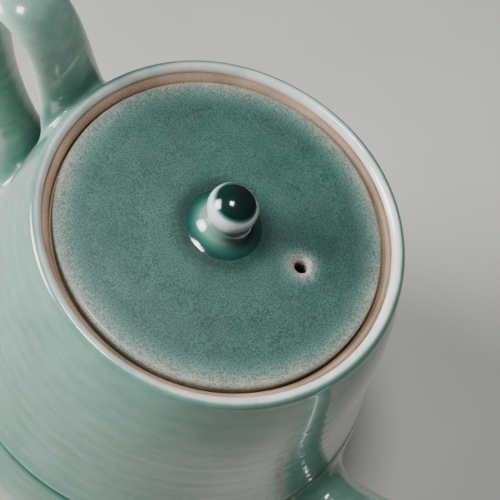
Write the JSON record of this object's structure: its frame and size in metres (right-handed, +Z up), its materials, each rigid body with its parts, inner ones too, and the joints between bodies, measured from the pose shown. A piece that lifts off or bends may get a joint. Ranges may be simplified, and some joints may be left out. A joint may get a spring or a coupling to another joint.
{
  "type": "teapot",
  "caption": "Bell-shaped celadon teapot with a flat inset lid, a round knob, a loop handle and a low-set spout.",
  "frame": {"origin": "centre of the foot ring on the plane it stands on, which is on the pot's axis", "axes": "+Z up along the pot's axis, +X towards the spout, -X towards the handle"},
  "size_m": [0.1755, 0.103, 0.1096],
  "materials": {
    "pot_glaze": "glossy celadon glaze, pale where it is thin",
    "lid_glaze": "satin celadon glaze, darker where it pools",
    "bare_clay": "matt unglazed stoneware, toasted by the kiln"
  },
  "bodies": {
    "pot": {"pot_body": "pot_glaze", "foot_ring": "bare_clay", "lid_seat": "bare_clay", "spout": "pot_glaze", "spout_strainer": "pot_glaze", "handle": "pot_glaze"},
    "lid": {"lid_plate": "lid_glaze", "lid_flange": "bare_clay", "lid_knob": "lid_glaze"}
  },
  "joints": [
    {"name": "lid_lift", "type": "slide", "parent": "pot", "child": "lid", "axis": [0, 0, 1], "range_m": [0, 0.07]}
  ]
}
